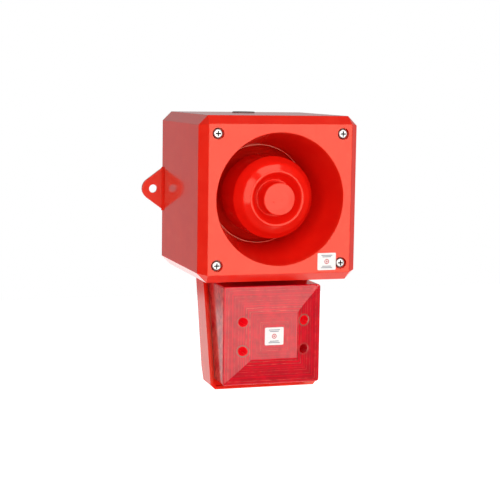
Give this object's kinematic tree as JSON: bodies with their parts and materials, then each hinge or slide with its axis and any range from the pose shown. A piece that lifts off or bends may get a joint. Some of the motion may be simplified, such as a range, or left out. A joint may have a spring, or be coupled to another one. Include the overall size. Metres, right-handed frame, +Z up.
{
  "type": "horn strobe",
  "caption": "Square wall-mounted alarm horn with a re-entrant round mouth and side lugs, and a red pyramid-front flashing lamp in a slanted base below it.",
  "frame": {"origin": "centre of the horn housing's back face, in the wall plane, midway between the two lug holes", "axes": "+X to the right seen from the front, +Y back into the wall, +Z up; the horn and lamp face -Y"},
  "size_m": [0.212, 0.1556, 0.283],
  "materials": {
    "red_housing": "glossy moulded red ABS",
    "red_horn": "semi-gloss moulded red ABS",
    "red_lens": "clear red polycarbonate",
    "stainless": "stainless steel",
    "plated_steel": "bright zinc-plated steel",
    "soft_iron": "turned soft iron",
    "black_plastic": "matt black nylon",
    "brass_nickel": "nickel-plated brass",
    "rubber_seal": "black silicone rubber",
    "grey_seal": "grey-green silicone rubber",
    "circuit_board": "green solder mask on glass-epoxy",
    "terminal_green": "green polyamide",
    "component_black": "black epoxy",
    "switch_blue": "blue polyamide",
    "white_plastic": "white nylon",
    "ferrite": "dark ferrite",
    "capacitor_sleeve": "dark shrink sleeve on an aluminium can",
    "tube_glass": "clear flash tube glass",
    "polished_aluminium": "polished aluminium",
    "wire_red": "red wire insulation",
    "diaphragm_film": "amber phenolic film",
    "copper_coil": "enamelled copper wire",
    "label_white": "white label film"
  },
  "bodies": {
    "housing": {"rear_housing": "red_housing", "housing_gasket": "rubber_seal", "top_entry_plug": "black_plastic", "top_plug_nut": "black_plastic", "coupling_nipple": "brass_nickel", "coupling_nuts": "brass_nickel", "main_pcb": "circuit_board", "main_pcb_screws": "stainless", "terminal_block": "terminal_green", "terminal_screws": "plated_steel", "tone_switch_case": "switch_blue", "volume_pot_case": "switch_blue", "smoothing_capacitors": "capacitor_sleeve", "transformer": "ferrite", "control_chips": "component_black", "lead_sockets": "white_plastic", "strobe_base": "red_housing", "strobe_pcb": "circuit_board", "strobe_pcb_screws": "stainless", "flash_tube": "tube_glass", "flash_reflector": "polished_aluminium", "tube_clips": "plated_steel", "storage_capacitor": "capacitor_sleeve", "trigger_coil": "copper_coil", "strobe_leads": "wire_red", "lens_gasket": "grey_seal"},
    "cover": {"front_cover": "red_housing", "horn_flare": "red_horn", "throat_tube": "red_horn", "reflector_spider": "red_horn", "cover_screws": "stainless", "cover_screw_seals": "rubber_seal", "horn_bowl": "red_horn", "horn_screws": "stainless", "horn_reflector": "red_horn", "driver_case": "black_plastic", "pole_plate": "soft_iron", "driver_magnet": "ferrite", "top_plate": "soft_iron", "diaphragm_ring": "black_plastic", "driver_screws": "stainless", "driver_plug": "white_plastic", "driver_lead": "wire_red", "horn_label": "label_white"},
    "lens": {"strobe_lens": "red_lens", "lens_screws": "stainless", "lens_screw_sleeves": "grey_seal", "lens_label": "label_white"},
    "diaphragm": {"diaphragm": "diaphragm_film", "voice_coil": "copper_coil"},
    "volume_rotor": {"volume_rotor": "white_plastic"},
    "tone_slider_1": {"tone_slider_1": "white_plastic"},
    "tone_slider_2": {"tone_slider_2": "white_plastic"},
    "tone_slider_3": {"tone_slider_3": "white_plastic"},
    "tone_slider_4": {"tone_slider_4": "white_plastic"},
    "tone_slider_5": {"tone_slider_5": "white_plastic"}
  },
  "joints": [
    {"name": "cover_lift_off", "type": "slide", "parent": "housing", "child": "cover", "axis": [0, -1, 0], "range_m": [0, 0.13]},
    {"name": "lens_lift_off", "type": "slide", "parent": "housing", "child": "lens", "axis": [0, -1, 0], "range_m": [0, 0.07]},
    {"name": "diaphragm_stroke", "type": "slide", "parent": "cover", "child": "diaphragm", "axis": [0, -1, 0], "range_m": [-0.0005, 0.0005], "stiffness_N_per_m": 3000},
    {"name": "volume_turn", "type": "hinge", "parent": "housing", "child": "volume_rotor", "pos_m": [0.055, -0.017, 0.03], "axis": [0, -1, 0], "range_deg": [-135, 135]},
    {"name": "tone_switch_1", "type": "slide", "parent": "housing", "child": "tone_slider_1", "axis": [1, 0, 0], "range_m": [0, 0.0017]},
    {"name": "tone_switch_2", "type": "slide", "parent": "housing", "child": "tone_slider_2", "axis": [1, 0, 0], "range_m": [0, 0.0017]},
    {"name": "tone_switch_3", "type": "slide", "parent": "housing", "child": "tone_slider_3", "axis": [1, 0, 0], "range_m": [0, 0.0017]},
    {"name": "tone_switch_4", "type": "slide", "parent": "housing", "child": "tone_slider_4", "axis": [1, 0, 0], "range_m": [0, 0.0017]},
    {"name": "tone_switch_5", "type": "slide", "parent": "housing", "child": "tone_slider_5", "axis": [1, 0, 0], "range_m": [0, 0.0017]}
  ]
}
